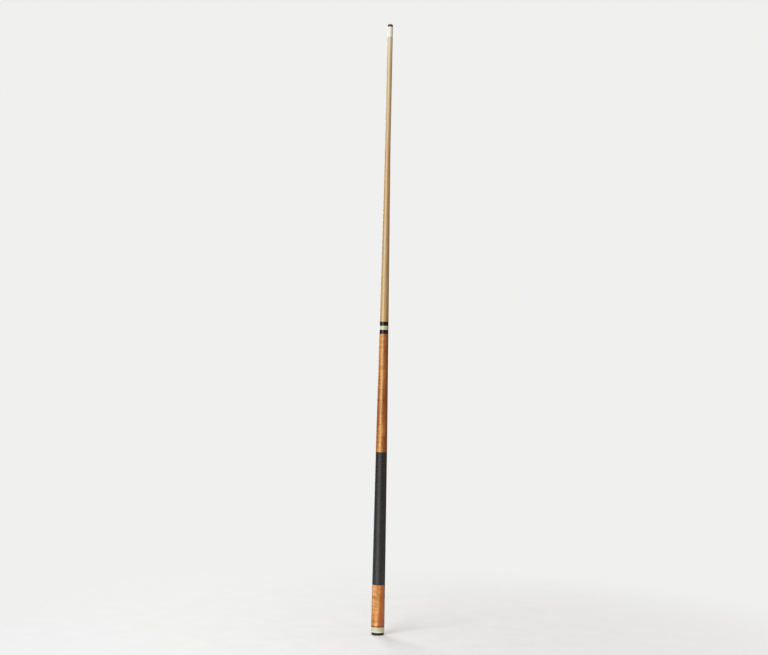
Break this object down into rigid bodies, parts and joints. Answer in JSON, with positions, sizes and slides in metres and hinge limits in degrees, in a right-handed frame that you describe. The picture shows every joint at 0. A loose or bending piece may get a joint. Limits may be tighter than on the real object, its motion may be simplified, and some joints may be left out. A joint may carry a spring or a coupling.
{
  "type": "pool cue",
  "caption": "Two-piece pool cue with a tapered maple shaft, figured-wood butt, linen wrap, ringed screw joint, white ferrule, leather tip and rubber bumper.",
  "frame": {"origin": "centre of the rubber bumper's bottom face, where the cue stands", "axes": "+Z along the cue's axis from the bumper to the tip; X and Y are across it"},
  "size_m": [0.0322, 0.0322, 1.4732],
  "materials": {
    "tip_leather": "burnished leather with worn-in chalk",
    "pad_fibre": "hard fibre",
    "ferrule_white": "polished",
    "shaft_maple": "straight-grained maple, sealed and waxed",
    "core_maple": "turned, unfinished",
    "forearm_maple": "stained curly maple under gloss lacquer",
    "sleeve_maple": "stained curly maple under gloss lacquer",
    "black_resin": "polished cast resin",
    "cream_resin": "polished cast resin",
    "wrap_linen": "pressed black linen thread",
    "steel": "turned stainless steel",
    "insert_brass": "turned brass",
    "bumper_rubber": "moulded rubber"
  },
  "bodies": {
    "butt": {"butt_cap": "cream_resin", "butt_sleeve": "sleeve_maple", "handle": "core_maple", "wrap": "wrap_linen", "weight_bolt": "steel", "forearm": "forearm_maple", "forearm_stud": "steel", "joint_ring": "black_resin", "joint_collar": "cream_resin", "joint_pin": "steel"},
    "collar": {"shaft_collar": "black_resin"},
    "shaft": {"shaft": "shaft_maple", "shaft_insert": "insert_brass", "ferrule": "ferrule_white", "tip_pad": "pad_fibre", "tip": "tip_leather"},
    "bumper": {"bumper": "bumper_rubber"}
  },
  "joints": [
    {"name": "shaft_lift", "type": "slide", "parent": "butt", "child": "collar", "axis": [0, 0, 1], "range_m": [0, 0.03175]},
    {"name": "shaft_turn", "type": "hinge", "parent": "collar", "child": "shaft", "pos_m": [0, 0, 0.7406], "axis": [0, 0, 1], "range_deg": [0, 4500]},
    {"name": "bumper_pull", "type": "slide", "parent": "butt", "child": "bumper", "axis": [0, 0, -1], "range_m": [0, 0.014]}
  ],
  "couplings": [
    {"joint": "shaft_turn", "follows": "shaft_lift", "rad_per_m": 2473.7}
  ]
}
